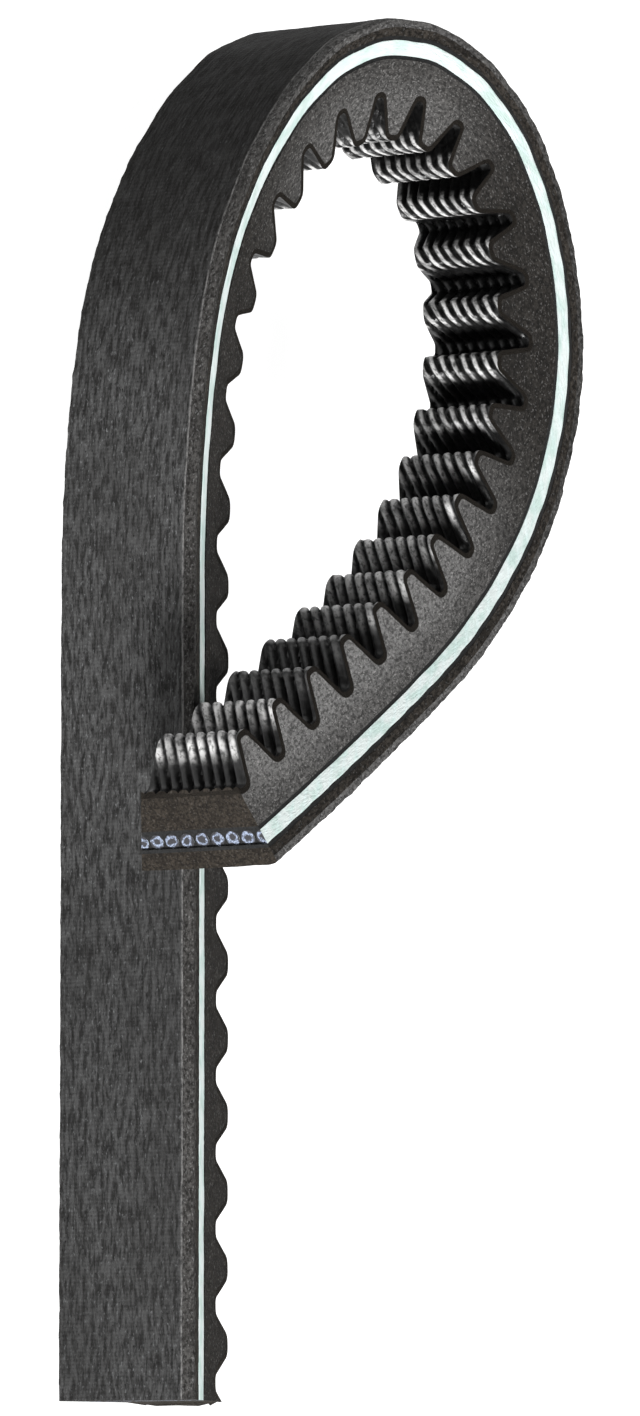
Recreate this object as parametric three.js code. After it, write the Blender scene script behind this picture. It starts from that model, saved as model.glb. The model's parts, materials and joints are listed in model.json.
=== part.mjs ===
// A cut length of raw-edge, moulded-cog V-belt, bent into a loop and lying on its raw edge.
//
// The belt is a laminate. Every ply is drawn flat first, as a section with a place across the
// belt (w, from the middle) and a depth (d, from the back), and is then carried along the
// belt's route by one shared function, so neighbouring plies meet face to face everywhere.
//
// Millimetres. In the belt's own axes the straight run goes along +Y with its back towards -X,
// and +Z is across the belt. The group is placed so that the belt stands on Z = 0.

import * as THREE from "three";

// Section of the belt
const TOP_WIDTH = 16.3;
const HEIGHT = 12.7;
const FLANK_LEAN = THREE.MathUtils.degToRad(15.6);
const FABRIC_PLY = 0.5;
const CORD_DEPTH = 3.1; // depth of the cord line, where the belt neither stretches nor shrinks
const CORD_DIAMETER = 1.6;
const CORD_PITCH = 1.8;
const CORD_COUNT = 9;
const CORD_SIDES = 6;
const GUM = 1.2; // adhesion gum above the cord line, and below it

// Moulded cogs
const COG_PITCH = 7.95;
const FIRST_TIP = 5.87; // from the straight run's cut end to the middle of the first whole cog
const GULLET_DEPTH = 8.3; // from the back of the belt
const TIP_HALF_FLAT = 0.3;
const TIP_RADIUS = 1.2;
const GULLET_RADIUS = 0.8;
const COG_FLANK_LEAN = THREE.MathUtils.degToRad(26);
const FACING = 0.6; // thickness of the fabric that lines the cogs

// Route of the cord line: a straight run, then bends that follow one another
const STRAIGHT_RUN = 109.9;
const BENDS = [
  { radius: 41, degrees: 43.8 }, // leaving the straight run
  { radius: 20.8, degrees: 118.9 }, // crown of the loop
  { radius: 39.3, degrees: 58.2 }, // coming back
  { radius: 78.6, degrees: 17.4 },
  { radius: 690, degrees: 3.4 }, // free tail, nearly straight
].map(({ radius, degrees }) => ({ radius, sweep: THREE.MathUtils.degToRad(degrees) }));
const EASE = 6; // each bend eases into the next over this distance on both sides
const EASE_SAMPLES = 13;
const BEND_AT_GULLETS = 1; // how far bending is drawn from the stiff cogs to the thin gullets

// The loop climbs sideways, so that the tail passes over the straight run's upper edge
const TAIL_CLIMB = 16.8;
const CLIMB_START = 85.7;
const CLIMB_END = 207.4;

const LENGTH = BENDS.reduce((sum, bend) => sum + bend.radius * bend.sweep, STRAIGHT_RUN);
const FIRST_GULLET = FIRST_TIP - COG_PITCH / 2;
const SAME_PLACE = 1e-6; // two places along the belt that are this close are one place

// ---------------------------------------------------------------- route

// Turning of the plain route, bend after bend, at a distance s along the belt.
function turnedAt(s) {
  let turned = 0;
  let start = STRAIGHT_RUN;
  for (const { radius, sweep } of BENDS) {
    const length = radius * sweep;
    turned += THREE.MathUtils.clamp((s - start) / length, 0, 1) * sweep;
    start += length;
  }
  return turned;
}

// Heading of the belt, clockwise from +Y, eased from bend to bend and drawn to the gullets.
function headingAt(s) {
  const wave = Math.sin((2 * Math.PI * (s - FIRST_GULLET)) / COG_PITCH);
  let sum = 0;
  for (let i = 0; i < EASE_SAMPLES; i++) {
    const offset = EASE * ((2 * i) / (EASE_SAMPLES - 1) - 1);
    sum += turnedAt(s + BEND_AT_GULLETS * wave + offset);
  }
  return sum / EASE_SAMPLES;
}

function climbAt(s) {
  return TAIL_CLIMB * THREE.MathUtils.smoothstep(s, CLIMB_START, CLIMB_END);
}

// The cord line, walked in short equal steps of the belt's true length.
const ROUTE_STEPS = 3000;
const ROUTE_STEP = LENGTH / ROUTE_STEPS;
const cordLine = [new THREE.Vector2(CORD_DEPTH, 0)];
for (let i = 0; i < ROUTE_STEPS; i++) {
  const s = i * ROUTE_STEP;
  const climb = climbAt(s + ROUTE_STEP) - climbAt(s);
  const along = Math.sqrt(ROUTE_STEP ** 2 - climb ** 2);
  const heading = headingAt(s + ROUTE_STEP / 2);
  const step = new THREE.Vector2(Math.sin(heading), Math.cos(heading)).multiplyScalar(along);
  cordLine.push(cordLine[i].clone().add(step));
}

// Where the flat belt's point (s along, w across, d deep) lies on the bent belt.
function place(s, w, d) {
  const i = Math.min(Math.floor(s / ROUTE_STEP), ROUTE_STEPS - 1);
  const onLine = cordLine[i].clone().lerp(cordLine[i + 1], s / ROUTE_STEP - i);
  const heading = headingAt(s);
  const inward = d - CORD_DEPTH;
  return new THREE.Vector3(
    onLine.x + inward * Math.cos(heading),
    onLine.y - inward * Math.sin(heading),
    climbAt(s) + TOP_WIDTH / 2 + w,
  );
}

// Half of the belt's width at a depth: the raw flanks lean in towards the cogs.
function halfWidthAt(d) {
  return TOP_WIDTH / 2 - d * Math.tan(FLANK_LEAN);
}

// Places along the belt where the plies are jointed: every gullet once the belt climbs or bends,
// and every cog of the tight crown as well.
function jointStations() {
  const flatEnd = Math.min(STRAIGHT_RUN, CLIMB_START) - COG_PITCH;
  const crownStart = STRAIGHT_RUN + BENDS[0].radius * BENDS[0].sweep - EASE;
  const crownEnd = crownStart + BENDS[1].radius * BENDS[1].sweep + 2 * EASE;
  const stations = [0];
  for (let s = FIRST_GULLET; s < LENGTH - COG_PITCH / 4; s += COG_PITCH / 2) {
    const atGullet = Math.round((s - FIRST_GULLET) / (COG_PITCH / 2)) % 2 === 0;
    const inCrown = s > crownStart && s < crownEnd;
    if (s > flatEnd && (atGullet || inCrown)) stations.push(s);
  }
  return [...stations, LENGTH];
}

const STATIONS = jointStations();

// ---------------------------------------------------------------- solids

function geometryOf(points, triangles) {
  const geometry = new THREE.BufferGeometry();
  const flat = points.flatMap((point) => point.toArray());
  geometry.setAttribute("position", new THREE.Float32BufferAttribute(flat, 3));
  geometry.setIndex(triangles.flat());
  geometry.computeVertexNormals();
  return geometry;
}

// A closed skin over rings of points, all made from one anticlockwise outline. Each side quad is
// split from its lower corner across the belt to its higher one, as its neighbour's is.
function skinOver(rings, outline, capTriangles) {
  const n = outline.length;
  const triangles = [];
  for (let ring = 0; ring < rings.length - 1; ring++) {
    for (let i = 0; i < n; i++) {
      const j = (i + 1) % n;
      const [a, b] = [ring * n + i, ring * n + j];
      const [c, d] = [a + n, b + n];
      const across = outline[j].x - outline[i].x || outline[j].y - outline[i].y;
      if (across > 0) triangles.push([a, b, d], [a, d, c]);
      else triangles.push([a, b, c], [b, d, c]);
    }
  }
  const last = (rings.length - 1) * n;
  for (const [a, b, c] of capTriangles) triangles.push([c, b, a], [last + a, last + b, last + c]);
  return geometryOf(rings.flat(), triangles);
}

// A ply: a flat section (x across, y deep) carried through the joint stations.
function plyGeometry(section) {
  const outline = THREE.ShapeUtils.isClockWise(section) ? [...section].reverse() : section;
  const rings = STATIONS.map((s) => outline.map(({ x, y }) => place(s, x, y)));
  return skinOver(rings, outline, THREE.ShapeUtils.triangulateShape(outline, []));
}

// A cogged layer: a flat side view (x along, y deep) that runs from one raw flank to the other.
function coggedGeometry(outline, capTriangles) {
  const rings = [1, -1].map((side) => outline.map(({ x, y }) => place(x, side * halfWidthAt(y), y)));
  return skinOver(rings, outline, capTriangles);
}

// ---------------------------------------------------------------- sections

function slabSection(top, bottom) {
  const [a, b] = [halfWidthAt(top), halfWidthAt(bottom)];
  return [
    new THREE.Vector2(-a, top),
    new THREE.Vector2(a, top),
    new THREE.Vector2(b, bottom),
    new THREE.Vector2(-b, bottom),
  ];
}

// A corner of a cord, cut off where the raw flank slices through the cord.
function cordCorner(centre, corner) {
  const angle = (2 * Math.PI * corner) / CORD_SIDES;
  const w = centre + (CORD_DIAMETER / 2) * Math.cos(angle);
  const d = CORD_DEPTH + (CORD_DIAMETER / 2) * Math.sin(angle);
  return new THREE.Vector2(THREE.MathUtils.clamp(w, -halfWidthAt(d), halfWidthAt(d)), d);
}

function cordCentre(number) {
  return (number - (CORD_COUNT + 1) / 2) * CORD_PITCH;
}

function cordSection(number) {
  return Array.from({ length: CORD_SIDES }, (_, i) => cordCorner(cordCentre(number), i));
}

// Adhesion gum on one side of the cord line (-1 towards the back, 1 towards the cogs), with the
// beds that the cords lie in.
function gumSection(side) {
  const outer = CORD_DEPTH + side * GUM;
  const half = CORD_SIDES / 2;
  const bed = [];
  for (let number = 1; number <= CORD_COUNT; number++) {
    for (let i = half; i >= 0; i--) {
      const atFlank = (number === 1 && i === half) || (number === CORD_COUNT && i === 0);
      if (!atFlank) bed.push(cordCorner(cordCentre(number), side * i));
    }
  }
  return [
    new THREE.Vector2(halfWidthAt(outer), outer),
    new THREE.Vector2(-halfWidthAt(outer), outer),
    ...bed,
  ];
}

// Side view of the moulded cogs, inset from their outer surface: one chain of points along the
// belt, with each corner as an arc about a centre that the inset doesn't move.
function cogChain(inset) {
  const reach = TIP_RADIUS + GULLET_RADIUS;
  const [sin, cos] = [Math.sin(COG_FLANK_LEAN), Math.cos(COG_FLANK_LEAN)];
  const flank = (HEIGHT - GULLET_DEPTH - reach + reach * sin) / cos;
  const tipCentre = new THREE.Vector2(TIP_HALF_FLAT, HEIGHT - TIP_RADIUS);
  const gulletCentre = new THREE.Vector2(
    TIP_HALF_FLAT + reach * cos + flank * sin,
    GULLET_DEPTH + GULLET_RADIUS,
  );
  const outward = (angle) => new THREE.Vector2(Math.cos(angle), Math.sin(angle));
  const halfCog = [
    new THREE.Vector2(0, HEIGHT - inset),
    outward(Math.PI / 2).multiplyScalar(TIP_RADIUS - inset).add(tipCentre),
    outward(COG_FLANK_LEAN).multiplyScalar(TIP_RADIUS - inset).add(tipCentre),
    outward(COG_FLANK_LEAN).multiplyScalar(-GULLET_RADIUS - inset).add(gulletCentre),
    outward(Math.PI / 2).multiplyScalar(-GULLET_RADIUS - inset).add(gulletCentre),
    new THREE.Vector2(COG_PITCH / 2, GULLET_DEPTH - inset),
  ];
  const chain = [];
  for (let tip = FIRST_TIP - COG_PITCH; tip < LENGTH + COG_PITCH; tip += COG_PITCH) {
    const fallingSide = halfCog.map(({ x, y }) => new THREE.Vector2(tip + x, y));
    const risingSide = halfCog.slice(1, -1).map(({ x, y }) => new THREE.Vector2(tip - x, y));
    chain.push(...risingSide.reverse(), ...fallingSide);
  }
  return chain;
}

// Cuts a pair of matching chains square across the belt at both of its ends.
function cutToLength(outer, inner) {
  const insideOf = (point) => point.x > 0 && point.x < LENGTH;
  const kept = outer.map((point, i) => insideOf(point) && insideOf(inner[i]));
  const first = kept.indexOf(true);
  const last = kept.lastIndexOf(true);
  const crossing = (chain, from, to, s) => {
    const [a, b] = [chain[from], chain[to]];
    return new THREE.Vector2(s, THREE.MathUtils.mapLinear(s, a.x, b.x, a.y, b.y));
  };
  return [outer, inner].map((chain) => [
    crossing(chain, first - 1, first, 0),
    ...chain.slice(first, last + 1),
    crossing(chain, last, last + 1, LENGTH),
  ]);
}

const [cogSurface, cogCore] = cutToLength(cogChain(0), cogChain(FACING));

// The rubber's side view is triangulated column by column, from one joint station to the next, so
// that no triangle reaches across a bend.
function compressionRubberGeometry() {
  const top = CORD_DEPTH + GUM;
  const outline = [...STATIONS.map((s) => new THREE.Vector2(s, top)), ...[...cogCore].reverse()];
  const capTriangles = [];
  for (let k = 0; k < STATIONS.length - 1; k++) {
    const [from, to] = [STATIONS[k] - SAME_PLACE, STATIONS[k + 1] + SAME_PLACE];
    const column = [k, k + 1];
    for (let i = STATIONS.length; i < outline.length; i++) {
      if (outline[i].x > from && outline[i].x < to) column.push(i);
    }
    const faces = THREE.ShapeUtils.triangulateShape(column.map((i) => outline[i]), []);
    capTriangles.push(...faces.map((face) => face.map((corner) => column[corner])));
  }
  return coggedGeometry(outline, capTriangles);
}

function cogFacingGeometry() {
  const n = cogSurface.length;
  const outline = [...cogCore, ...[...cogSurface].reverse()];
  const capTriangles = [];
  for (let i = 0; i < n - 1; i++) {
    const [a, b, c, d] = [i, i + 1, 2 * n - 2 - i, 2 * n - 1 - i];
    capTriangles.push([a, b, c], [a, c, d]);
  }
  return coggedGeometry(outline, capTriangles);
}

// ---------------------------------------------------------------- materials and assembly

const materials = {
  backFabric: new THREE.MeshStandardMaterial({ color: 0x4a474c, roughness: 0.85 }),
  rubber: new THREE.MeshStandardMaterial({ color: 0x3a3836, roughness: 0.8 }),
  gum: new THREE.MeshStandardMaterial({ color: 0x1c1b1c, roughness: 0.7 }),
  cord: new THREE.MeshStandardMaterial({ color: 0xe6f2ee, roughness: 0.6 }),
  facing: new THREE.MeshStandardMaterial({ color: 0x141415, roughness: 0.35 }),
};

const belt = new THREE.Group();

function addPiece(name, geometry, material) {
  const piece = new THREE.Mesh(geometry, material);
  piece.name = name;
  belt.add(piece);
}

function addBackPlies() {
  const overcordTop = 2 * FABRIC_PLY;
  const overcordBottom = CORD_DEPTH - GUM;
  addPiece("top_fabric_outer_ply", plyGeometry(slabSection(0, FABRIC_PLY)), materials.backFabric);
  addPiece("top_fabric_inner_ply", plyGeometry(slabSection(FABRIC_PLY, overcordTop)), materials.backFabric);
  addPiece("overcord_rubber", plyGeometry(slabSection(overcordTop, overcordBottom)), materials.rubber);
}

function addCordLayer() {
  addPiece("upper_adhesion_gum", plyGeometry(gumSection(-1)), materials.gum);
  for (let number = 1; number <= CORD_COUNT; number++) {
    addPiece(`tensile_cord_${number}`, plyGeometry(cordSection(number)), materials.cord);
  }
  addPiece("lower_adhesion_gum", plyGeometry(gumSection(1)), materials.gum);
}

function addCogLayers() {
  addPiece("compression_rubber", compressionRubberGeometry(), materials.rubber);
  addPiece("cog_facing_fabric", cogFacingGeometry(), materials.facing);
}

addBackPlies();
addCordLayer();
addCogLayers();

// The origin is under the middle of the belt, at the level it lies on.
const extent = new THREE.Box3().setFromObject(belt);
const middle = extent.getCenter(new THREE.Vector3());
belt.position.set(-middle.x, -middle.y, -extent.min.z);

export default belt;
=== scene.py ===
"""Looks of the cut, raw-edge, moulded-cog V-belt that stands as a loop on its raw edge.

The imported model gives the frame. Every ply is drawn again here along the same route as the solids,
in far finer steps: the fabric back, the sliced cords on the raw flanks, the ground rubber and the
ribbed, rounded cogs. A belt point is (s, w, d): millimetres along the belt from the straight run's
cut end, across it from the middle, and down from its back.
"""

import json
import math

import bpy
import numpy as np
from mathutils import Matrix, Vector


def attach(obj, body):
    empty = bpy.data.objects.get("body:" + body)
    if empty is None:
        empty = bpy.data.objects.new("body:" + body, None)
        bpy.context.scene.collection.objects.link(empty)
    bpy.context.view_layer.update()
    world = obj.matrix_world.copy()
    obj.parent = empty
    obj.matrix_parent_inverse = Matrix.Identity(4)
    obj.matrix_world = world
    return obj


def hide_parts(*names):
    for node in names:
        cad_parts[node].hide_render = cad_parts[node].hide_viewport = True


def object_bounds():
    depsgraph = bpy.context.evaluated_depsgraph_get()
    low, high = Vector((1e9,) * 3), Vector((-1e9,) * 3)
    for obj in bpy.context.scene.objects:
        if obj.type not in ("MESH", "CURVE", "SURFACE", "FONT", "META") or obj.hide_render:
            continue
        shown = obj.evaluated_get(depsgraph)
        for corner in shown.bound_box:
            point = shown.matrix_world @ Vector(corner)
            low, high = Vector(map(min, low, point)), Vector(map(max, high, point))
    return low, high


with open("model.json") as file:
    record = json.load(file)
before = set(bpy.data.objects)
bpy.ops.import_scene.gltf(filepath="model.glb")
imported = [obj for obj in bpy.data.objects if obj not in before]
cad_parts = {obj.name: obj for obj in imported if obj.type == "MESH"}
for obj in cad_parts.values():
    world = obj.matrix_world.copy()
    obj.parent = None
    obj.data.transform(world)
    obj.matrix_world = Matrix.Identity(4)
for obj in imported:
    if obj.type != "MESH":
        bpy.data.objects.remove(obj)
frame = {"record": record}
cad_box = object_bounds()

MM = 0.001

# Section of the belt, as in the solids
TOP_WIDTH = 16.3
HEIGHT = 12.7
FLANK_LEAN = math.radians(15.6)
FABRIC_PLY = 0.5
CORD_DEPTH = 3.1
CORD_DIAMETER = 1.6
CORD_PITCH = 1.8
CORD_COUNT = 9
GUM = 1.2

# Moulded cogs, as in the solids
COG_PITCH = 7.95
FIRST_TIP = 5.87
GULLET_DEPTH = 8.3
TIP_HALF_FLAT = 0.3
TIP_RADIUS = 1.2
GULLET_RADIUS = 0.8
COG_FLANK_LEAN = math.radians(26)
FACING = 0.6

# Route of the cord line, as in the solids: a straight run, then (radius, sweep) of each bend
STRAIGHT_RUN = 109.9
BENDS = [
    (radius, math.radians(degrees))
    for radius, degrees in ((41, 43.8), (20.8, 118.9), (39.3, 58.2), (78.6, 17.4), (690, 3.4))
]
EASE = 6.0
EASE_SAMPLES = 13
BEND_AT_GULLETS = 1.0
TAIL_CLIMB = 16.8
CLIMB_START = 85.7
CLIMB_END = 207.4
ROUTE_STEPS = 3000

LENGTH = STRAIGHT_RUN + sum(radius * sweep for radius, sweep in BENDS)
FIRST_GULLET = FIRST_TIP - COG_PITCH / 2

# Fine detail that only the looks have
ALONG_STEP = 0.3  # spacing of the points along the plies that show
HIDDEN_STEP = 0.8  # and along the gum and the inner cords, which hardly show
CORD_SIDES = 20
GUM_RECESS = 0.07  # the soft gum lies this far behind the ground flanks
GUM_EDGE = 0.55  # and ends this far from the cord line on a flank, where a sliced cord shows
RIB_PITCH = 1.3  # ribs of the cog facing run along the belt
RIB_SLANT = 0.45  # how far a rib drifts across the belt for each step along it
RIB_DEPTH = 0.45
RIB_FADE = 0.6  # the grooves run out this near to a raw flank
RIB_SAMPLES = 8  # points across each rib
ARC_STEP = math.radians(14)  # on the cogs' rounded tips and gullets
FLAT_STEP = 0.6  # on the cogs' straight flanks
EDGE_ROUND = 0.12  # rounding of the back's lower edge
BEVEL_WIDTH = 1.25  # the back's upper edge is worn to a slight bevel
BEVEL_DEPTH = 0.3
# a painted highlight: the pale line just before the bevel stands in for light caught by the edge
EDGE_HIGHLIGHT_LINE = (0.3, 0.1)  # a pale line runs between these distances before the bevel
ON_FLANK = 0.02  # a point this near to a raw flank lies on it
SHARP_ANGLE = math.radians(40)

# Where the looks change along the belt: each pair is the start and end of one smooth change, and
# two pairs are a rise and the fall after it
# painted shade: the back is darkened over the first bend, where the lamps hardly reach it
PAINTED_SHADE_BEND = ((98, 126), (148, 172))
DARK_LOW_END = (44, 66)
# the raw flanks are paler here, partly from grinding and dust and partly as painted light
GROUND_AND_PAINTED_LIGHT_CROWN = ((118, 146), (160, 184))
GROUND_AND_PAINTED_LIGHT_WAY_BACK = ((208, 245), (LENGTH - 12, LENGTH + 20))
# the painted highlight on the cogs' rib crests reaches further from here on, and is left off these cogs
HIGHLIGHT_FURTHER = (205, 240)
COGS_WITHOUT_HIGHLIGHT = ((248, 258), (270, 276))

# ---------------------------------------------------------------- route


def turned_at(s):
    """Turning of the plain route, bend after bend."""
    turned = np.zeros_like(s)
    start = STRAIGHT_RUN
    for radius, sweep in BENDS:
        length = radius * sweep
        turned += np.clip((s - start) / length, 0, 1) * sweep
        start += length
    return turned


def heading_at(s):
    """Heading of the belt, clockwise from +Y, eased from bend to bend and drawn to the gullets."""
    wave = np.sin(2 * np.pi * (s - FIRST_GULLET) / COG_PITCH)
    offsets = EASE * np.linspace(-1, 1, EASE_SAMPLES)
    return sum(turned_at(s + BEND_AT_GULLETS * wave + offset) for offset in offsets) / EASE_SAMPLES


def climb_at(s):
    t = np.clip((s - CLIMB_START) / (CLIMB_END - CLIMB_START), 0, 1)
    return TAIL_CLIMB * t * t * (3 - 2 * t)


def cord_line():
    """Places along the belt, and the X and Y of the cord line there."""
    s = np.linspace(0, LENGTH, ROUTE_STEPS + 1)
    step = LENGTH / ROUTE_STEPS
    along = np.sqrt(step**2 - np.diff(climb_at(s)) ** 2)
    heading = heading_at(s[:-1] + step / 2)
    x = CORD_DEPTH + np.concatenate([[0], np.cumsum(np.sin(heading) * along)])
    y = np.concatenate([[0], np.cumsum(np.cos(heading) * along)])
    return s, x, y


LINE_S, LINE_X, LINE_Y = cord_line()
MOUNTS = {mount["name"]: mount for mount in frame["record"]["mounts"]}
# The straight run's back at its cut end, at the level that the belt lies on
START = np.array([MOUNTS["back_face"]["pos_m"][0], cad_box[0][1], cad_box[0][2]])


def place(s, w, d):
    """Row-frame points, in metres, of belt points: arrays of one shape give an array of points."""
    s, w, d = np.broadcast_arrays(s, w, d)
    beyond = s - np.clip(s, 0, LENGTH)
    inside = s - beyond
    heading = heading_at(inside)
    inward = d - CORD_DEPTH
    x = np.interp(inside, LINE_S, LINE_X) + inward * np.cos(heading) + beyond * np.sin(heading)
    y = np.interp(inside, LINE_S, LINE_Y) - inward * np.sin(heading) + beyond * np.cos(heading)
    z = climb_at(inside) + TOP_WIDTH / 2 + w
    return START + MM * np.stack([x, y, z], axis=-1)


def half_width_at(d):
    return TOP_WIDTH / 2 - d * math.tan(FLANK_LEAN)


def lies_on_flank(w, d):
    return np.abs(np.abs(w) - half_width_at(d)) < ON_FLANK


# ---------------------------------------------------------------- smooth random fields


def random_field(seed, *coordinates):
    """A smooth random field, about -1 to 1, over coordinates given in its own units of grain."""
    rng = np.random.default_rng(seed)
    total = np.zeros(np.broadcast(*coordinates).shape)
    waves = 14
    for _ in range(waves):
        phase = rng.uniform(0, 2 * np.pi)
        for coordinate in coordinates:
            phase = phase + coordinate * rng.normal(0, 2.2)
        total = total + np.sin(phase)
    return total / math.sqrt(waves / 2) / 1.6


# ---------------------------------------------------------------- meshes


def mesh_piece(name, points, belt, faces, replaces, materials, face_material):
    """A piece with its belt coordinates stored on its points, riding on the belt's one body."""
    mesh = bpy.data.meshes.new(name)
    mesh.from_pydata(points.reshape(-1, 3).tolist(), [], faces)
    stored = mesh.attributes.new("belt", "FLOAT_VECTOR", "POINT")
    stored.data.foreach_set("vector", belt.reshape(-1).astype(np.float32))
    for material in materials:
        mesh.materials.append(material)
    mesh.polygons.foreach_set("material_index", face_material)
    mesh.polygons.foreach_set("use_smooth", [True] * len(mesh.polygons))
    mesh.set_sharp_from_angle(angle=SHARP_ANGLE)
    mesh.update()
    piece = bpy.data.objects.new(name, mesh)
    bpy.context.scene.collection.objects.link(piece)
    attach(piece, "root")
    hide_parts(*replaces)
    return piece


def ring_faces(ring_count, n):
    """Quads between closed rings of n points, and the two end caps; the rings turn so that the
    faces look outwards when they run from the belt's start to its end."""
    ring = np.arange(ring_count - 1)[:, None] * n
    i = np.arange(n)[None, :]
    j = (i + 1) % n
    quads = np.stack([ring + i, ring + j, ring + j + n, ring + i + n], axis=-1).reshape(-1, 4)
    first = list(range(n))[::-1]
    last = [(ring_count - 1) * n + k for k in range(n)]
    return quads.tolist() + [first, last]


def along_stations(step=ALONG_STEP):
    return np.linspace(0, LENGTH, int(LENGTH / step) + 1)


def anticlockwise(outline):
    outline = np.asarray(outline, float)
    x, y = outline[:, 0], outline[:, 1]
    area = np.sum(x * np.roll(y, -1) - np.roll(x, -1) * y)
    return outline if area > 0 else outline[::-1]


def ply(name, outline, replaces, materials, shift, side=lambda *_: 0, step=ALONG_STEP):
    """A closed ply: an outline of (w, d) carried along the belt. shift(s, w, d) gives the fine
    unevenness, as changes of s, w and d; side(w0, d0, w1, d1) picks the material of each side, and
    the last material is that of the two cut ends."""
    outline = anticlockwise(outline)
    s = along_stations(step)[:, None]
    w = np.broadcast_to(outline[:, 0], (len(s), len(outline)))
    d = np.broadcast_to(outline[:, 1], (len(s), len(outline)))
    s = np.broadcast_to(s, w.shape)
    belt = np.stack([s, w, d], axis=-1)
    ds, dw, dd = shift(s, w, d)
    points = place(s + ds, w + dw, d + dd)
    faces = ring_faces(*w.shape)
    sides = [side(*a, *b) for a, b in zip(outline, np.roll(outline, -1, axis=0))]
    indices = sides * (len(s) - 1) + [len(materials) - 1] * 2
    return mesh_piece(name, points, belt, faces, replaces, materials, indices)


# ---------------------------------------------------------------- node materials


class Nodes:
    """A small helper for building a node material."""

    def __init__(self, name):
        self.material = bpy.data.materials.new(name)
        self.material.use_nodes = True
        self.tree = self.material.node_tree
        self.shader = self.tree.nodes["Principled BSDF"]
        self.belt = self.node("ShaderNodeAttribute", attribute_name="belt").outputs["Vector"]

    def node(self, kind, inputs=None, **settings):
        node = self.tree.nodes.new(kind)
        for key, value in settings.items():
            setattr(node, key, value)
        for key, value in (inputs or {}).items():
            self.set(node.inputs[key], value)
        return node

    def set(self, socket, value):
        if isinstance(value, bpy.types.NodeSocket):
            self.tree.links.new(value, socket)
        else:
            socket.default_value = value

    def math(self, operation, a, b=0.0, clamp=False):
        node = self.node("ShaderNodeMath", {0: a, 1: b}, operation=operation, use_clamp=clamp)
        return node.outputs[0]

    def scaled(self, scale, offset=(0, 0, 0)):
        """Belt coordinates in grains: scale is grains per millimetre along, across and down."""
        inputs = {"Vector": self.belt, "Location": offset, "Scale": scale}
        return self.node("ShaderNodeMapping", inputs).outputs["Vector"]

    def noise(self, scale, detail=2.0, roughness=0.5, offset=(0, 0, 0)):
        inputs = {"Vector": self.scaled(scale, offset), "Scale": 1.0}
        inputs.update({"Detail": detail, "Roughness": roughness})
        return self.node("ShaderNodeTexNoise", inputs).outputs["Fac"]

    def step(self, value, low, high, low_out=0.0, high_out=1.0):
        """low_out up to low, high_out from high on, and a smooth change in between."""
        inputs = {"Value": value, "From Min": low, "From Max": high}
        inputs.update({"To Min": low_out, "To Max": high_out})
        return self.node("ShaderNodeMapRange", inputs, interpolation_type="SMOOTHSTEP").outputs["Result"]

    def band(self, value, rise, fall, top=1.0):
        """0, then top between a rise and a fall, each given as its (start, end), then 0 again."""
        return self.math("MULTIPLY", self.step(value, *rise, 0, top), self.step(value, *fall[::-1]))

    def mix(self, factor, a, b):
        node = self.node("ShaderNodeMix", data_type="RGBA")
        self.set(node.inputs["Factor"], factor)
        self.set(node.inputs[6], a)
        self.set(node.inputs[7], b)
        return node.outputs[2]

    def part(self, axis):
        """One belt coordinate: along, across or down, in millimetres."""
        separate = self.node("ShaderNodeSeparateXYZ", {"Vector": self.belt})
        return separate.outputs[("along", "across", "down").index(axis)]

    def bump(self, height, distance, under=None):
        """A bumped normal: distance is the height's full swing in metres."""
        inputs = {"Height": height, "Distance": distance, "Strength": 1.0}
        if under is not None:
            inputs["Normal"] = under
        return self.node("ShaderNodeBump", inputs).outputs["Normal"]

    def finish(self, **sockets):
        for name, value in sockets.items():
            self.set(self.shader.inputs[name.replace("_", " ")], value)
        return self.material


def grey(value, warmth=0.0):
    """A linear grey; warmth above 0 leans to brown, and below 0 to blue."""
    return (value * (1 + warmth), value, value * (1 - warmth), 1.0)


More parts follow.
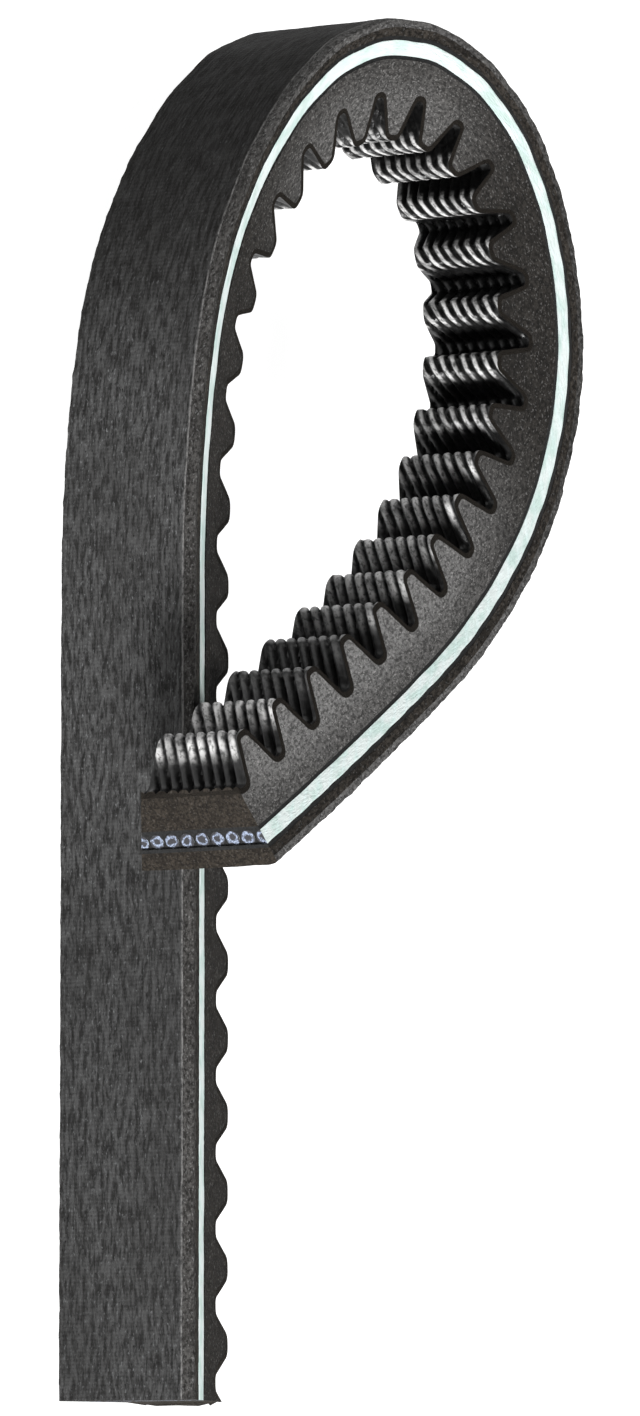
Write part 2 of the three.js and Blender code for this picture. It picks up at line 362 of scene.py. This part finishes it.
def back_fabric_material():
    """Rubberised bias-cut fabric: streaks and dashes, a faint diagonal weave, a painted highlight as a
    thin pale line where the upper edge's bevel starts, painted shade over the first bend, and darker at
    the low end."""
    n = Nodes("back_fabric")
    streaks = n.noise((0.4, 1.9, 1.0), detail=5, roughness=0.7)
    dashes = n.noise((1.5, 3.6, 1.0), detail=3, roughness=0.7, offset=(7, 3, 0))
    cloud = n.noise((0.06, 0.14, 1.0), detail=2, offset=(20, 5, 0))
    colour = n.mix(n.step(streaks, 0.38, 0.62), grey(0.014, 0.02), grey(0.058, 0.0))
    colour = n.mix(n.step(dashes, 0.56, 0.74), colour, grey(0.13, -0.02))
    colour = n.mix(n.step(dashes, 0.44, 0.3), colour, grey(0.006))
    colour = n.mix(n.step(cloud, 0.42, 0.62, 0, 0.25), colour, grey(0.018, 0.03))
    along = n.part("along")
    across = n.part("across")
    # painted shade over the first bend, darkening the fabric's colour
    bend = n.band(along, *PAINTED_SHADE_BEND)
    colour = n.mix(n.math("MULTIPLY", bend, 0.62), colour, grey(0.005, 0.1))
    low = n.step(along, *DARK_LOW_END[::-1])
    colour = n.mix(n.math("MULTIPLY", low, 0.25), colour, grey(0.008))
    # painted highlight: a pale line along the back just before the bevel
    bevel_start = TOP_WIDTH / 2 - BEVEL_WIDTH
    edge_highlight = n.step(across, bevel_start - EDGE_HIGHLIGHT_LINE[0], bevel_start - EDGE_HIGHLIGHT_LINE[1])
    edge_highlight = n.math("MULTIPLY", edge_highlight, n.step(dashes, 0.35, 0.6, 0.1, 0.6))
    colour = n.mix(edge_highlight, colour, grey(0.17, 0.02))
    thread_spacing = 0.85
    threads = 2 * math.pi / thread_spacing
    warp = n.math("SINE", n.math("MULTIPLY", n.math("ADD", along, across), threads))
    weft = n.math("SINE", n.math("MULTIPLY", n.math("SUBTRACT", along, across), threads))
    weave = n.math("MULTIPLY", warp, weft)
    normal = n.bump(weave, 0.000015)
    normal = n.bump(dashes, 0.00016, under=normal)
    return n.finish(
        Base_Color=colour,
        Roughness=n.step(dashes, 0.3, 0.7, 0.6, 0.8),
        Normal=normal,
        Specular_IOR_Level=0.05,
    )


def raw_rubber_material(name, dark, pale, fleck, ground=0.0):
    """A raw edge of fibre-loaded rubber: ground matt, with the cut ends of its fibres showing paler.
    On the crown and on the way back it is paler still, partly from grinding and dust and partly as
    painted light where the lamps fall weakly on these flanks; ground says by how much."""
    n = Nodes(name)
    patch = n.noise((0.22, 0.5, 0.5), detail=3, roughness=0.6)
    grain = n.noise((2.0, 3.0, 3.0), detail=4, roughness=0.7, offset=(3, 9, 1))
    specks = n.noise((3.2, 4.6, 4.6), detail=1, offset=(5, 5, 5))
    scratch = n.noise((0.5, 4.5, 4.5), detail=2, offset=(1, 4, 8))
    along = n.part("along")
    # paler on the crown and the way back: partly grinding and dust, partly painted light, and more so
    # deeper down
    crown = n.band(along, *GROUND_AND_PAINTED_LIGHT_CROWN, 0.5)
    way_back = n.band(along, *GROUND_AND_PAINTED_LIGHT_WAY_BACK)
    ground_and_painted_light = n.math("MULTIPLY", n.math("ADD", crown, way_back), ground)
    ground_and_painted_light = n.math("MULTIPLY", ground_and_painted_light, n.step(n.part("down"), 4.5, 9, 0.6, 1.3))
    colour = n.mix(n.step(grain, 0.36, 0.66), dark, pale)
    colour = n.mix(n.step(patch, 0.45, 0.7, 0, 0.6), colour, dark)
    dust_and_painted_light = n.math("MULTIPLY", ground_and_painted_light, n.step(grain, 0.38, 0.6, 0.3, 1.0))
    colour = n.mix(dust_and_painted_light, colour, grey(0.23, 0.01))
    showing = n.math("MULTIPLY", n.step(specks, 0.6, 0.7), n.math("ADD", 0.25, ground_and_painted_light, clamp=True))
    colour = n.mix(showing, colour, fleck)
    colour = n.mix(n.step(scratch, 0.62, 0.75, 0, 0.4), colour, pale)
    normal = n.bump(grain, 0.00018)
    normal = n.bump(scratch, 0.00008, under=normal)
    return n.finish(
        Base_Color=colour,
        Roughness=n.step(grain, 0.3, 0.7, 0.72, 0.9),
        Normal=normal,
        Specular_IOR_Level=0.08,
    )


def gum_material():
    """Cushion gum: plain black rubber, a little smoother than the rest."""
    n = Nodes("cushion_gum")
    grain = n.noise((1.6, 4.0, 4.0), detail=3)
    colour = n.mix(n.step(grain, 0.3, 0.7), grey(0.004), grey(0.011, -0.03))
    normal = n.bump(grain, 0.0001)
    return n.finish(Base_Color=colour, Roughness=0.65, Normal=normal, Specular_IOR_Level=0.15)


def cord_material():
    """Polyester cord: bright where the flank has sliced it open, with the lay of its twisted strands
    showing as faint slanted lines."""
    n = Nodes("tensile_cord")
    along = n.part("along")
    down = n.part("down")
    lay = n.math("SINE", n.math("MULTIPLY", n.math("ADD", along, n.math("MULTIPLY", down, 1.6)), 2.1))
    fibre = n.noise((1.3, 5.0, 5.0), detail=3, roughness=0.6)
    blotch = n.noise((0.35, 0.8, 0.8), detail=2, offset=(2, 2, 2))
    white = n.mix(n.step(blotch, 0.4, 0.65), (0.50, 0.55, 0.54, 1), (0.38, 0.48, 0.45, 1))
    white = n.mix(n.step(lay, 0.5, 1.0, 0, 0.25), white, (0.5, 0.62, 0.62, 1))
    white = n.mix(n.step(fibre, 0.6, 0.78, 0, 0.35), white, (0.45, 0.52, 0.52, 1))
    return n.finish(Base_Color=white, Roughness=0.7, Normal=n.bump(fibre, 0.00015))


def cord_end_material():
    """A cord's cut end: a pale, uneven ring of filaments round a dark core."""
    n = Nodes("tensile_cord_end")
    across = n.part("across")
    down = n.part("down")
    turns = n.math("DIVIDE", across, CORD_PITCH)
    local = n.math("MULTIPLY", n.math("SUBTRACT", turns, n.math("ROUND", turns)), CORD_PITCH)
    below = n.math("SUBTRACT", down, CORD_DEPTH)
    wobble = n.noise((1.3, 1.3, 1.3), detail=2)
    squares = n.math("ADD", n.math("MULTIPLY", local, local), n.math("MULTIPLY", below, below))
    wobble = n.math("MULTIPLY", n.math("SUBTRACT", wobble, 0.5), 1.1)
    radius = n.math("ADD", n.math("SQRT", squares), wobble)
    filaments = n.noise((9, 9, 9), detail=2, offset=(4, 0, 2))
    ring = n.band(radius, (0.3, 0.46), (0.6, 0.74))
    pale = n.mix(n.step(filaments, 0.35, 0.6), (0.02, 0.025, 0.04, 1), (0.22, 0.26, 0.35, 1))
    colour = n.mix(ring, (0.012, 0.012, 0.016, 1), pale)
    return n.finish(Base_Color=colour, Roughness=0.75, Normal=n.bump(filaments, 0.0001))


def facing_material():
    """The moulded facing: black and glossy in its grooves and gullets, with a painted highlight: the
    crests of its ribs near each cog's tip are painted pale, further and wider on the way back, but
    hardly at all on a few cogs near the tail."""
    n = Nodes("cog_facing")
    grain = n.noise((1.4, 2.2, 2.2), detail=3, roughness=0.6)
    smear = n.noise((0.3, 0.5, 0.5), detail=2, offset=(6, 1, 3))
    turns = n.math("FRACT", n.math("DIVIDE", n.part("across"), RIB_PITCH))
    off_crest = n.math("ABSOLUTE", n.math("SUBTRACT", turns, 0.5))
    along = n.part("along")
    below_tip = n.math("SUBTRACT", HEIGHT, n.part("down"))
    # painted highlight: pale rib crests near each cog's tip, reaching further on the way back and left
    # off a few cogs near the tail
    reach = n.step(along, *HIGHLIGHT_FURTHER, 1.0, 1.6)
    near_tip = n.step(n.math("DIVIDE", below_tip, reach), 1.7, 0.6)
    crest = n.step(n.math("DIVIDE", off_crest, reach), 0.27, 0.1)
    highlight_left_off = n.math("MULTIPLY", n.band(along, *COGS_WITHOUT_HIGHLIGHT), 0.9)
    painted_highlight = n.math("MULTIPLY", crest, near_tip)
    painted_highlight = n.math("MULTIPLY", painted_highlight, n.math("SUBTRACT", 1.0, highlight_left_off))
    painted_highlight = n.math("MULTIPLY", painted_highlight, n.step(grain, 0.34, 0.56, 0.25, 1.0))
    painted_highlight = n.math("MULTIPLY", painted_highlight, n.step(smear, 0.3, 0.6, 0.35, 1.0))
    colour = n.mix(n.step(grain, 0.4, 0.75), grey(0.003), grey(0.012, 0.02))
    # the painted highlight's pale colour
    colour = n.mix(painted_highlight, colour, grey(0.5, 0.01))
    return n.finish(
        Base_Color=colour,
        Roughness=n.step(smear, 0.3, 0.7, 0.3, 0.42),
        Normal=n.bump(grain, 0.00006),
        Specular_IOR_Level=0.3,
    )


# ---------------------------------------------------------------- the belt's pieces


def slab_outline(top, bottom):
    """A ply's section: its top and bottom between the leaning flanks."""
    a, b = half_width_at(top), half_width_at(bottom)
    return [(-a, top), (a, top), (b, bottom), (-b, bottom)]


def flank_shift(seed, depth=0.035, recess=0.0):
    """Ground unevenness of the raw flanks, which also lie back by a recess: only points that lie on
    a flank move."""

    def shift(s, w, d):
        uneven = random_field(seed, s * 1.3, d * 2.0, np.sign(w) * 3)
        return 0, np.where(lies_on_flank(w, d), np.sign(w) * (depth * uneven - recess), 0), 0

    return shift


def outer_ply():
    """The back of the belt, with slight waves, a softly rounded lower edge, and an upper edge that wear
    has bevelled."""
    a = half_width_at(0)
    b = half_width_at(FABRIC_PLY)
    bevel_start = a - BEVEL_WIDTH
    reach = half_width_at(BEVEL_DEPTH) - bevel_start
    bevel = [(bevel_start + reach * t, BEVEL_DEPTH * t * t) for t in np.linspace(0, 1, 6)]
    lower_edge = [
        (-a + EDGE_ROUND * (1 - math.sin(t)), EDGE_ROUND * (1 - math.cos(t)))
        for t in np.linspace(math.pi / 2, 0, 4)
    ]
    flat = [(w, 0.0) for w in np.linspace(-a + EDGE_ROUND, bevel_start, 42)][1:-1]
    outline = lower_edge + flat + bevel + [(b, FABRIC_PLY), (-b, FABRIC_PLY)]

    def shift(s, w, d):
        on_back = d < FABRIC_PLY * 0.9
        on_edge = on_back & ((w > bevel_start + 0.9 * reach) | (w < -a + EDGE_ROUND / 2))
        waves = 0.045 * random_field(1, s * 0.35, w * 0.5) + 0.02 * random_field(2, s * 1.6, w * 1.6)
        edge = np.sign(w)
        fray = 0.05 * random_field(3, s * 2.6, edge * 5) + 0.05 * random_field(4, s * 0.7, edge * 5)
        return 0, np.where(on_edge, edge * fray, 0), np.where(on_back, waves, 0)

    def side(w0, d0, w1, d1):
        return 1 if max(d0, d1) > FABRIC_PLY / 2 or min(w0, w1) > bevel_start - 0.01 else 0

    return ply(
        "outer_fabric_back", outline, ["top_fabric_outer_ply"],
        [BACK_FABRIC, PLY_EDGE, CUT_RUBBER], shift, side,
    )


def inner_ply():
    outline = slab_outline(FABRIC_PLY, 2 * FABRIC_PLY)
    return ply(
        "inner_fabric", outline, ["top_fabric_inner_ply"],
        [PLY_EDGE, CUT_RUBBER], flank_shift(5),
    )


def overcord():
    outline = slab_outline(2 * FABRIC_PLY, CORD_DEPTH - GUM)
    return ply(
        "overcord", outline, ["overcord_rubber"],
        [TENSION_RUBBER, CUT_RUBBER], flank_shift(6),
    )


def cord_centre(number):
    return (number - (CORD_COUNT + 1) / 2) * CORD_PITCH


def cord_outline(number):
    """A round cord, cut flat where the raw flank slices through it."""
    angles = np.arange(CORD_SIDES) * 2 * np.pi / CORD_SIDES
    w = cord_centre(number) + CORD_DIAMETER / 2 * np.cos(angles)
    d = CORD_DEPTH + CORD_DIAMETER / 2 * np.sin(angles)
    limit = half_width_at(d)
    return np.stack([np.clip(w, -limit, limit), d], axis=-1)


def gum_outline(side):
    """Gum above (-1) or below (1) the cord line, with its beds round the cords."""
    outer = CORD_DEPTH + side * GUM
    bed = []
    for number in range(1, CORD_COUNT + 1):
        for t in np.linspace(math.pi, 0, CORD_SIDES // 2 + 1):
            w = cord_centre(number) + CORD_DIAMETER / 2 * math.cos(t)
            d = CORD_DEPTH + side * CORD_DIAMETER / 2 * math.sin(t)
            if abs(w) < half_width_at(d):
                bed.append((w, d))
    left = [(-half_width_at(d), d) for d in (outer, CORD_DEPTH + side * GUM_EDGE)]
    return left + bed + [(-w, d) for w, d in reversed(left)]


def cords_and_gum():
    """The nine cords, the two at the flanks sliced open, and the gum that they lie in."""
    for side, name in ((-1, "upper"), (1, "lower")):
        ply(
            f"{name}_gum", gum_outline(side), [f"{name}_adhesion_gum"],
            [GUM_RUBBER], flank_shift(7 + side, 0.015, GUM_RECESS), step=HIDDEN_STEP,
        )
    for number in range(1, CORD_COUNT + 1):

        def shift(s, w, d, number=number):
            out, down = w - cord_centre(number), d - CORD_DEPTH
            on_flank = lies_on_flank(w, d)
            strands = 0.03 * np.cos(3 * np.arctan2(down, out) + s * 1.4)
            proud = 0.015 * random_field(20 + number, s * 1.1, d)
            swell = 0.05 * random_field(40 + number, s * 0.3, np.sign(down) * 4)
            dw = np.where(on_flank, np.sign(w) * proud, np.sign(out) * strands)
            dd = np.where(on_flank, down / (CORD_DIAMETER / 2) * swell, 0)
            return 0, dw, dd

        at_flank = number in (1, CORD_COUNT)
        ply(
            f"cord_{number}", cord_outline(number), [f"tensile_cord_{number}"],
            [CORD, CORD_END], shift, step=ALONG_STEP if at_flank else HIDDEN_STEP,
        )


def arc(centre, radius, start, end):
    count = max(2, int(abs(end - start) / ARC_STEP) + 1)
    angles = np.linspace(start, end, count)
    return [(centre[0] + radius * math.cos(t), centre[1] + radius * math.sin(t)) for t in angles]


def cog_chain(inset):
    """Side view of the cogs, inset from their outer surface: (s, d) points that run a little past
    both ends of the belt."""
    reach = TIP_RADIUS + GULLET_RADIUS
    sin, cos = math.sin(COG_FLANK_LEAN), math.cos(COG_FLANK_LEAN)
    flank = (HEIGHT - GULLET_DEPTH - reach + reach * sin) / cos
    tip = (TIP_HALF_FLAT, HEIGHT - TIP_RADIUS)
    gullet = (TIP_HALF_FLAT + reach * cos + flank * sin, GULLET_DEPTH + GULLET_RADIUS)
    tip_arc = arc(tip, TIP_RADIUS - inset, math.pi / 2, COG_FLANK_LEAN)
    gullet_arc = arc(gullet, GULLET_RADIUS + inset, math.pi + COG_FLANK_LEAN, 1.5 * math.pi)
    between = int(flank / FLAT_STEP)
    straight = [
        tuple(np.array(tip_arc[-1]) * (1 - t) + np.array(gullet_arc[0]) * t)
        for t in np.linspace(0, 1, between + 1)[1:-1]
    ]
    tip_flat = [(x, HEIGHT - inset) for x in np.linspace(0, TIP_HALF_FLAT, 3)[:-1]]
    half_cog = tip_flat + tip_arc + straight + gullet_arc + [(COG_PITCH / 2, GULLET_DEPTH - inset)]
    chain = []
    tip_place = FIRST_TIP - COG_PITCH
    while tip_place < LENGTH + COG_PITCH:
        chain += [(tip_place - x, y) for x, y in half_cog[-2:0:-1]]
        chain += [(tip_place + x, y) for x, y in half_cog]
        tip_place += COG_PITCH
    return np.array(chain)


def cut_chains(*chains):
    """Matching chains, cut square at both ends of the belt."""
    inside = np.all([(chain[:, 0] > 0.02) & (chain[:, 0] < LENGTH - 0.02) for chain in chains], axis=0)
    kept = np.flatnonzero(inside)
    first, last = kept[0], kept[-1]
    cut = []
    for chain in chains:
        ends = []
        for a, b, s in ((first - 1, first, 0.0), (last, last + 1, LENGTH)):
            t = (s - chain[a, 0]) / (chain[b, 0] - chain[a, 0])
            ends.append((s, chain[a, 1] + t * (chain[b, 1] - chain[a, 1])))
        cut.append(np.vstack([ends[0], chain[first : last + 1], ends[1]]))
    return cut


COG_SURFACE, COG_CORE = cut_chains(cog_chain(0), cog_chain(FACING))


def chain_normals(chain):
    """Outward normals, away from the belt's back, of a chain of (s, d) points."""
    ahead = np.gradient(chain, axis=0)
    normals = np.stack([-ahead[:, 1], ahead[:, 0]], axis=-1)
    return normals / np.linalg.norm(normals, axis=1, keepdims=True)


def rib_profile(w):
    """Height of the ribs across the belt, 0 on a rib's crown and -1 at the bottom of a groove."""
    turn = (w / RIB_PITCH) % 1 - 0.5
    narrowing = 2.1  # above 2, so that a thin flat is left between the round ribs
    return np.sqrt(1 - np.clip(narrowing * turn, -1, 1) ** 2) - 1


def cog_facing():
    """The ribbed facing over cogs and gullets: a fine outer surface and a plain inner one."""
    columns = int(2 * half_width_at(GULLET_DEPTH) / RIB_PITCH * RIB_SAMPLES) + 1
    across = np.linspace(-1, 1, columns)
    n = len(COG_SURFACE)
    s = COG_SURFACE[:, :1]
    d = COG_SURFACE[:, 1:]
    w = half_width_at(d) * across
    s = np.broadcast_to(s, w.shape)
    d = np.broadcast_to(d, w.shape)
    normal = chain_normals(COG_SURFACE)
    drift = 0.12 * random_field(59, s * 0.15, w * 0.2) - RIB_SLANT * s
    fade = np.clip((half_width_at(d) - np.abs(w)) / RIB_FADE, 0, 1)
    height = fade * RIB_DEPTH * rib_profile(w + drift) + 0.02 * random_field(60, s * 0.8, w * 0.8)
    outer = place(s + normal[:, :1] * height, w, d + normal[:, 1:] * height)
    # the stored place across drifts with the ribs, so that the material finds their crests
    outer_belt = np.stack([s, w + drift, d], axis=-1)
    core_w = half_width_at(COG_CORE[:, 1:]) * np.array([[1, -1]])
    core_s = np.broadcast_to(COG_CORE[:, :1], core_w.shape)
    core_d = np.broadcast_to(COG_CORE[:, 1:], core_w.shape)
    inner = place(core_s, core_w, core_d)
    inner_belt = np.stack([core_s, core_w, core_d], axis=-1)
    points = np.concatenate([outer, inner], axis=1)
    belt = np.concatenate([outer_belt, inner_belt], axis=1)
    faces = [face[::-1] for face in ring_faces(n, columns + 2)]
    sides = [0] * (columns - 1) + [1, 1, 1]
    indices = sides * (n - 1) + [1, 1]
    return mesh_piece(
        "ribbed_cog_facing", points, belt, faces, ["cog_facing_fabric"],
        [FACING_RUBBER, CUT_RUBBER], indices,
    )


def compression_body():
    """The fibre-loaded rubber between the gum and the facing, with ground flanks: rings of points
    that go down one flank and up the other, with a ring at every point of the cogs' side view."""
    top = CORD_DEPTH + GUM
    rows = 10  # points down each flank
    d = top + (COG_CORE[:, 1:] - top) * np.linspace(0, 1, rows)
    s = np.broadcast_to(COG_CORE[:, :1], d.shape)
    flanks = []
    for side, deep in ((1, d), (-1, d[:, ::-1])):
        w = side * half_width_at(deep)
        uneven = 0.03 * random_field(70 + side, s * 1.2, deep * 1.6)
        flanks.append((place(s, w + side * uneven, deep), np.stack([s, w, deep], axis=-1)))
    points, belt = (np.concatenate(pair, axis=1) for pair in zip(*flanks))
    faces = ring_faces(len(COG_CORE), 2 * rows)
    indices = [0] * (len(faces) - 2) + [1, 1]
    return mesh_piece(
        "compression_body", points, belt, faces, ["compression_rubber"],
        [RAW_RUBBER, CUT_RUBBER], indices,
    )


BACK_FABRIC = back_fabric_material()
PLY_EDGE = raw_rubber_material("fabric_ply_edge", grey(0.010, 0.06), grey(0.055, 0.04), grey(0.22), 0.5)
TENSION_RUBBER = raw_rubber_material("tension_rubber", grey(0.005, 0.15), grey(0.032, 0.15), grey(0.12))
RAW_RUBBER = raw_rubber_material(
    "raw_rubber", grey(0.007, 0.08), grey(0.025, 0.1), grey(0.22, 0.02), 0.5
)
CUT_RUBBER = raw_rubber_material("cut_rubber", grey(0.006, 0.2), grey(0.024, 0.2), grey(0.08, 0.1))
GUM_RUBBER = gum_material()
CORD = cord_material()
CORD_END = cord_end_material()
FACING_RUBBER = facing_material()

outer_ply()
inner_ply()
overcord()
cords_and_gum()
compression_body()
cog_facing()

# ---------------------------------------------------------------- stage, lights and camera

# The camera stands this far round from the back of the straight run, over its upper flank
VIEW_AZIMUTH = math.radians(30.77)
VIEW_RISE = math.radians(-5.97)  # and this far towards +Y, so here towards the run's cut end
VIEW_DISTANCE = 0.9014
VIEW_LENS = 212.7
FLOOR_HALF_SIZE = 3.0
FLOOR_GLOW = 0.96
WORLD_GLOW = 0.08
VIEW_TARGET = Vector(START + MM * np.array([38.6, 75.07, 8.5]))


def towards_camera():
    flat = math.cos(VIEW_RISE)
    x = -math.cos(VIEW_AZIMUTH) * flat
    return Vector((x, math.sin(VIEW_RISE), math.sin(VIEW_AZIMUTH) * flat))


def add_camera():
    """The belt is seen with its long straight run upright, so +Y is up in the picture."""
    out = towards_camera()
    right = Vector((0, 1, 0)).cross(out).normalized()
    up = out.cross(right)
    camera = bpy.data.objects.new("camera", bpy.data.cameras.new("camera"))
    camera.data.lens = VIEW_LENS
    camera.data.clip_end = 20
    rotation = Matrix((right, up, out)).transposed().to_4x4()
    camera.matrix_world = Matrix.Translation(VIEW_TARGET + out * VIEW_DISTANCE) @ rotation
    bpy.context.scene.collection.objects.link(camera)
    bpy.context.scene.camera = camera


def add_floor():
    """A plain pale floor, which glows a little below white so that it shows even in the shade."""
    n = Nodes("pale_floor")
    tone = n.noise((1, 1, 1), detail=1)
    colour = n.mix(tone, (0.24, 0.24, 0.24, 1), (0.26, 0.26, 0.26, 1))
    material = n.finish(Base_Color=colour, Roughness=0.9)
    n.set(n.shader.inputs["Emission Color"], (1, 1, 1, 1))
    n.set(n.shader.inputs["Emission Strength"], FLOOR_GLOW)
    mesh = bpy.data.meshes.new("floor")
    half = FLOOR_HALF_SIZE
    corners = [(-half, -half, 0), (half, -half, 0), (half, half, 0), (-half, half, 0)]
    mesh.from_pydata(corners, [], [(0, 1, 2, 3)])
    mesh.materials.append(material)
    floor = bpy.data.objects.new("floor", mesh)
    bpy.context.scene.collection.objects.link(floor)


def add_area(name, direction, size, power):
    """A square lamp, a metre away in a direction from the middle of the picture."""
    light = bpy.data.lights.new(name, "AREA")
    light.size = size
    light.energy = power
    lamp = bpy.data.objects.new(name, light)
    out = Vector(direction).normalized()
    lamp.location = VIEW_TARGET + out
    lamp.rotation_euler = out.to_track_quat("Z", "Y").to_euler()
    bpy.context.scene.collection.objects.link(lamp)


def add_world():
    world = bpy.data.worlds.new("studio")
    world.use_nodes = True
    background = world.node_tree.nodes["Background"]
    background.inputs["Color"].default_value = (1, 1, 1, 1)
    background.inputs["Strength"].default_value = WORLD_GLOW
    bpy.context.scene.world = world


add_camera()
add_floor()
add_world()
add_area("key", (-0.6, -0.72, 0.36), size=0.22, power=22)
add_area("overhead", (0.2, 0.3, 1.0), size=0.4, power=9)
add_area("crown", (0.1, 1.0, 0.5), size=0.4, power=1)
bpy.context.scene.view_settings.view_transform = "Standard"
